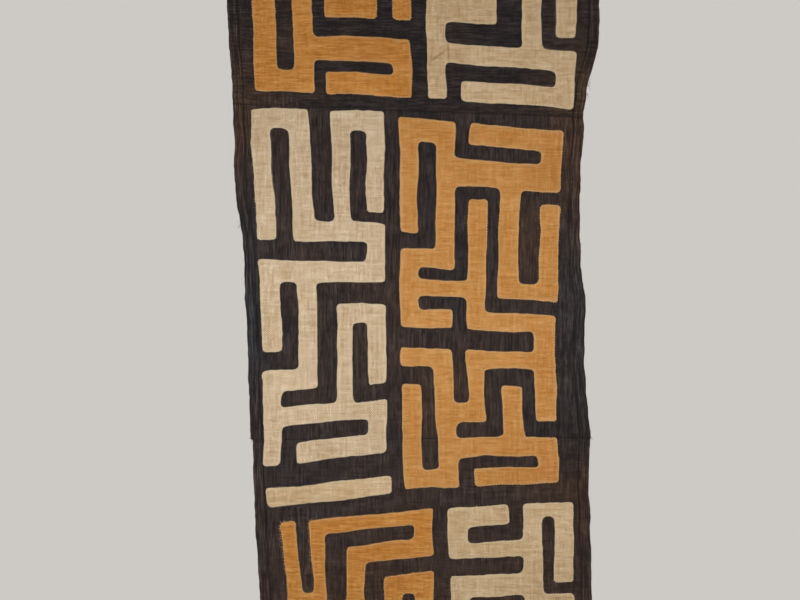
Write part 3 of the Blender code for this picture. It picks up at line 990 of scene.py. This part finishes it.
def ground_raffia():
    """Raffia of the ground, with its dye in patches, its worn threads, and painted shade and light
    along its hems.
    """
    name = "Dark dyed raffia, woven and hemmed"
    material, tree, shader, place = new_material(name, *GROUND_FINISH)
    warp, weft = grain(tree, place, WARP, 2.0), grain(tree, place, WEFT, 4.0)
    blotch, cloud = grain(tree, place, BLOTCH, 6.0), grain(tree, place, CLOUD, 8.0)
    crossings = weave(tree, place)
    brown = add(tree, "Attribute", out="Fac", attribute_name="brown")
    blue = add(tree, "Attribute", out="Fac", attribute_name="blue")
    pale = add(tree, "Attribute", out="Fac", attribute_name="pale")
    shade = add(tree, "Attribute", out="Fac", attribute_name="shade")
    upright = add(tree, "Attribute", out="Fac", attribute_name="upright")
    from_side = add(tree, "Attribute", out="Fac", attribute_name="from_side")

    up = add(tree, "SeparateXYZ", {0: place}, out="Z")
    across = add(tree, "Math", {0: from_side, 1: MM}, operation="MULTIPLY")
    in_hem = add(tree, "CombineXYZ", {"X": across, "Z": up})
    # Painted light and shade of the hem's pleats: lighter and darker upright streaks within the hem
    pleat_light_and_shade = add(tree, "Math", {0: grain(tree, in_hem, HEM_PLEAT_SHADING), 1: 0.5}, operation="SUBTRACT")
    hem = add(tree, "MapRange", {"Value": from_side} | PLEAT_SHADED)
    threads = add(tree, "Mix", {0: upright, 2: weft, 3: warp}, data_type="FLOAT")
    parts = ((threads, GROUND_THREADED), (blotch, GROUND_BLOTCHED), (crossings, CROSSED))
    tone = add(tree, "Math", {0: mixed(tree, parts), 1: shade}, operation="ADD")
    tone = add(tree, "Math", {0: pleat_light_and_shade, 1: hem, 2: tone}, operation="MULTIPLY_ADD")

    black = add(tree, "ValToRGB", {"Fac": tone}, stops=BLACK_STOPS)
    blue_black = add(tree, "ValToRGB", {"Fac": tone}, stops=BLUE_STOPS)
    rusty = add(tree, "ValToRGB", {"Fac": tone}, stops=BROWN_STOPS)
    share = mixed(tree, ((cloud, 1.0), (brown, 1.0)), BROWN_SHARE + 0.5)
    share = add(tree, "MapRange", {"Value": share})
    cloth = add(tree, "Mix", {0: blue, 6: black, 7: blue_black}, out=2, data_type="RGBA")
    cloth = add(tree, "Mix", {0: share, 6: cloth, 7: rusty}, out=2, data_type="RGBA")
    paler = grain(tree, place, STREAK, 2.0)
    paler = add(tree, "MapRange", {"Value": paler} | WORN)
    paler = add(tree, "Math", {0: paler, 1: pale}, operation="MULTIPLY", use_clamp=True)
    cloth = add(tree, "Mix", {0: paler, 6: cloth, 7: linear(PALE_THREAD)}, out=2, data_type="RGBA")
    # Painted shade: a dark line along each hem, beside its sewn trough
    line = add(tree, "Math", {0: from_side, 1: SHADE_LINE_IN}, operation="SUBTRACT")
    line = add(tree, "Math", {0: line}, operation="ABSOLUTE")
    line = add(tree, "MapRange", {"Value": line} | SHADE_LINE_WIDE)
    cloth = add(tree, "Mix", {0: line, 6: cloth, 7: linear(HEM_SHADE_LINE)}, out=2, data_type="RGBA")
    relief = mixed(tree, zip((crossings, warp, weft), GROUND_RELIEF))
    finish_cloth(tree, shader, cloth, relief, GROUND_DEEP)
    return material


def sewing_thread(name, dark, light):
    """Raffia thread twisted by hand: a dull thread, lighter and darker along its length."""
    name = f"{name} raffia thread, twisted"
    material, tree, shader, place = new_material(name, *THREAD_FINISH)
    twist = grain(tree, place, TWIST)
    thread = add(tree, "ValToRGB", {"Fac": twist}, stops=((0.35, dark), (0.65, light)))
    finish_cloth(tree, shader, thread, twist, THREAD_DEEP)
    return material


def floor_material():
    """Smooth pale paper of the studio floor."""
    material, tree, shader, place = new_material("Pale studio floor", *FLOOR_FINISH)
    cloud = grain(tree, place, FLOOR_CLOUD)
    paper = add(tree, "ValToRGB", {"Fac": cloud}, stops=((0.3, "#C6C3BF"), (0.7, "#CDCAC6")))
    tree.links.new(paper, shader.inputs["Base Color"])
    return material


# The cloth

STITCH = stitch_form()
ground = ground_raffia()
cloths = {name: figure_raffia(name.capitalize(), dye) for name, dye in DYES.items()}
threads = {
    "cream": sewing_thread("Cream", "#C8AC84", "#EADBC0"),
    "ochre": sewing_thread("Ochre", "#C08E54", "#E6CDA2"),
    "dark": sewing_thread("Dark", "#14100E", "#241D1A"),
}

side_lines = []
for panel in PANELS:
    piece, lines = make_panel(panel, ground)
    side_lines.append(lines)
    into = np.array((HEM_SEWN, 0))
    sewn = running(f"{panel.node}_left_hem", lines[0] + into, threads["dark"])
    sewn += running(f"{panel.node}_right_hem", lines[1] - into, threads["dark"])

for k, (upper, lower) in enumerate(zip(side_lines, side_lines[1:]), 1):
    left = (upper[0][-1] + lower[0][0]) / 2
    right = (upper[1][-1] + lower[1][0]) / 2
    seam(f"seam_{k}", left, right, threads["dark"])

ends = (("top", side_lines[0], 0, -END_SEWN), ("bottom", side_lines[-1], -1, END_SEWN))
for name, lines, row, off in ends:
    left, right = lines[0][row] + (END_IN, off), lines[1][row] + (-END_IN, off)
    share = np.linspace(0, 1, END_POINTS)[:, None]
    running(f"{name}_hem", left + (right - left) * share, threads["dark"])

make_threads("side_frays", fray_paths(side_lines), FIBRE_THICK, threads["dark"])

for seed, cut in enumerate(CUTS):
    outline = cut_outline(cut.node)
    piece = make_figure(cut.node, outline, cloths[cut.cloth])
    sewn = edge_stitches(cut.node, outline, threads[cut.thread], seed)
    # A dark thread round each figure, which also stands in for the shadow at its rim
    sewn.append(edging_and_shadow_line(cut.node, outline, threads["dark"]))

# Floor, lights and camera

FLOOR_DROP = 2.0
FLOOR_SIDE = 4.0
bpy.ops.object.select_all(action="DESELECT")
bpy.ops.mesh.primitive_plane_add(size=FLOOR_SIDE, location=(0, 0, -FLOOR_DROP))
floor = bpy.context.object
floor.name = "studio_floor"
floor.data.materials.append(floor_material())

BACKDROP = "#CDCAC6"
world = bpy.data.worlds.new("Pale studio")
bpy.context.scene.world = world
world.use_nodes = True
world.node_tree.nodes["Background"].inputs["Color"].default_value = linear(BACKDROP)

# Soft boxes: where each stands, what it looks at, its side in metres and its power in watts
SoftBox = namedtuple("SoftBox", "name place target side watts")
SOFT_BOXES = (
    SoftBox("key", (-0.42, -0.68, -0.98), (0.0, 0.0, -0.97), 0.4, 2.05),
    SoftBox("fill", (0.46, -0.72, -1.0), (0.0, 0.0, -0.97), 0.4, 1.8),
    SoftBox("rear", (0.6, 1.7, -0.4), (0.0, 0.0, -0.9), 0.9, 14.0),
)


def look_at(item, target):
    """Turns a lamp to face a point."""
    way = Vector(target) - item.location
    item.rotation_euler = way.to_track_quat("-Z", "Y").to_euler()


for box in SOFT_BOXES:
    lamp = bpy.data.lights.new(box.name, "AREA")
    lamp.shape = "SQUARE"
    lamp.size = box.side
    lamp.energy = box.watts
    light = bpy.data.objects.new(box.name, lamp)
    bpy.context.scene.collection.objects.link(light)
    light.location = box.place
    light.visible_camera = False
    look_at(light, box.target)

# The photo's view: level and straight on, its frame 1.4 m wide at the cloth
LENS = 60.0
FRAME_WIDE = 1.4
VIEW_X = -0.0175
VIEW_Z = -0.901
camera = bpy.data.cameras.new("Camera")
camera.lens = LENS
view = bpy.data.objects.new("Camera", camera)
bpy.context.scene.collection.objects.link(view)
view.location = (VIEW_X, -FRAME_WIDE * LENS / camera.sensor_width, VIEW_Z)
view.rotation_euler = (math.pi / 2, 0, 0)
bpy.context.scene.camera = view
bpy.context.scene.view_settings.view_transform = "Standard"
